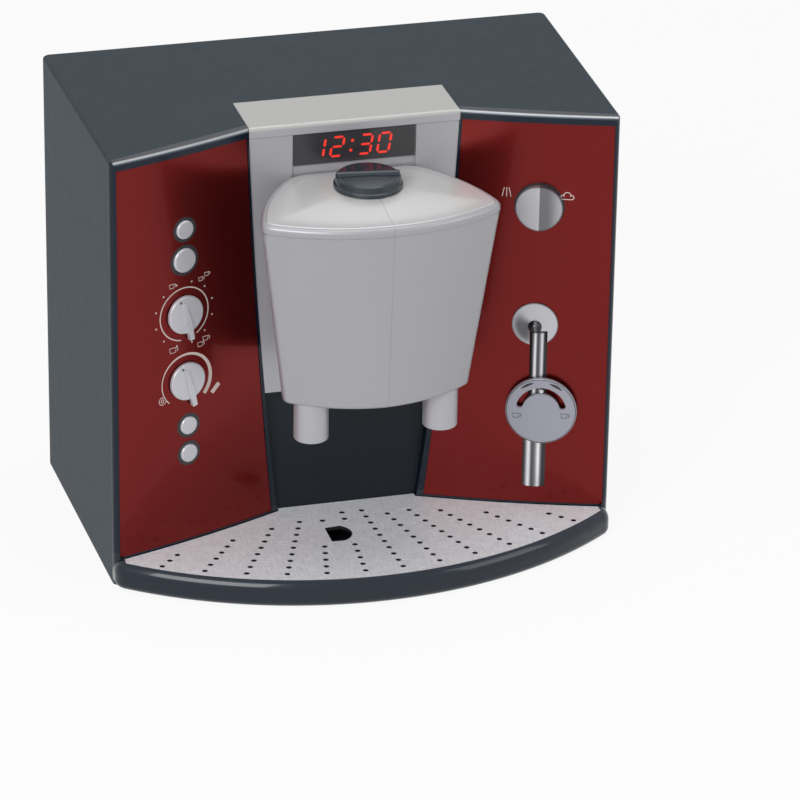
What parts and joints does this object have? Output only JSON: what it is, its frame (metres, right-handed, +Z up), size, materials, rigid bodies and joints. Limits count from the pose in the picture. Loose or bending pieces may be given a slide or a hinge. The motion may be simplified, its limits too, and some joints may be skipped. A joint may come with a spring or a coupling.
{
  "type": "toy coffee maker",
  "caption": "Free-standing play coffee machine: dark casing with a shallow V of glossy panels, buttons, dials, a brew head with twin spouts, and a drip tray for cups.",
  "frame": {"origin": "on the base, under the middle of the whole footprint", "axes": "+X to the user's right, +Y to the back, +Z up; the controls and the tray face -Y"},
  "size_m": [0.2278, 0.1694, 0.1975],
  "materials": {
    "slate": "satin moulded plastic, dark slate blue-grey",
    "slate_inner": "matt moulded plastic, dark",
    "red": "high-gloss dark red plastic",
    "silver": "silver-painted plastic, satin",
    "bright": "bright plated finish",
    "window": "dark glossy window",
    "clear_tank": "translucent natural plastic",
    "seal": "soft black ring",
    "board": "green circuit board",
    "speaker_black": "black",
    "steel": "plated steel",
    "black_plastic": "black plastic",
    "clip": "natural plastic"
  },
  "bodies": {
    "casing": {"housing": "slate", "base_plate": "slate_inner", "rear_cover": "slate_inner", "left_panel": "red", "right_panel": "red", "column": "silver", "recess_wall": "slate_inner", "display_window": "window", "display_board": "board", "head_shell": "silver", "head_top": "silver", "left_spout": "silver", "right_spout": "silver", "water_tank": "clear_tank", "spout_seals": "seal", "steam_pipe": "bright", "pipe_rosette": "bright", "frother_pin": "steel", "key_board": "board", "key_switches": "black_plastic", "main_board": "board", "speaker": "speaker_black", "battery_box": "black_plastic", "battery_contacts": "steel", "base_screws": "steel", "cover_screws": "steel", "head_screws": "steel", "column_screws": "steel"},
    "cap": {"filler_cap": "black_plastic", "cap_seal": "seal"},
    "grille": {"drip_grille": "silver"},
    "upper_dial": {"upper_dial": "silver", "upper_dial_clip": "clip"},
    "lower_dial": {"lower_dial": "silver", "lower_dial_clip": "clip"},
    "steam_knob": {"steam_knob": "silver", "steam_knob_clip": "clip"},
    "frother_disc": {"frother_disc": "silver", "frother_clip": "clip"},
    "battery_door": {"battery_door": "slate_inner", "door_screw": "steel"},
    "button_1": {"button_1": "silver"},
    "button_2": {"button_2": "silver"},
    "button_3": {"button_3": "silver"},
    "button_4": {"button_4": "silver"}
  },
  "joints": [
    {"name": "cap_lift", "type": "slide", "parent": "casing", "child": "cap", "axis": [0, 0, 1], "range_m": [0, 0.03]},
    {"name": "grille_lift", "type": "slide", "parent": "casing", "child": "grille", "axis": [0, 0, 1], "range_m": [0, 0.009]},
    {"name": "upper_dial_turn", "type": "hinge", "parent": "casing", "child": "upper_dial", "pos_m": [-0.07767, -0.02921, 0.1205], "axis": [0.3584, -0.9336, 0], "continuous": true},
    {"name": "lower_dial_turn", "type": "hinge", "parent": "casing", "child": "lower_dial", "pos_m": [-0.07683, -0.02888, 0.0891], "axis": [0.3584, -0.9336, 0], "range_deg": [-285, 0]},
    {"name": "steam_knob_turn", "type": "hinge", "parent": "casing", "child": "steam_knob", "pos_m": [0.07907, -0.02974, 0.1547], "axis": [-0.3584, -0.9336, 0], "range_deg": [-50, 50]},
    {"name": "frother_disc_turn", "type": "hinge", "parent": "casing", "child": "frother_disc", "pos_m": [0.08225, -0.03096, 0.0591], "axis": [-0.3584, -0.9336, 0], "range_deg": [-70, 70]},
    {"name": "battery_door_swing", "type": "hinge", "parent": "casing", "child": "battery_door", "pos_m": [-0.04, 0.085, 0.09175], "axis": [1, 0, 0], "range_deg": [0, 60]},
    {"name": "button_1_press", "type": "slide", "parent": "casing", "child": "button_1", "axis": [-0.3584, 0.9336, 0], "range_m": [0, 0.001], "stiffness_N_per_m": 600, "springref_m": -0.0005},
    {"name": "button_2_press", "type": "slide", "parent": "casing", "child": "button_2", "axis": [-0.3584, 0.9336, 0], "range_m": [0, 0.001], "stiffness_N_per_m": 600, "springref_m": -0.0005},
    {"name": "button_3_press", "type": "slide", "parent": "casing", "child": "button_3", "axis": [-0.3584, 0.9336, 0], "range_m": [0, 0.001], "stiffness_N_per_m": 600, "springref_m": -0.0005},
    {"name": "button_4_press", "type": "slide", "parent": "casing", "child": "button_4", "axis": [-0.3584, 0.9336, 0], "range_m": [0, 0.001], "stiffness_N_per_m": 600, "springref_m": -0.0005}
  ]
}
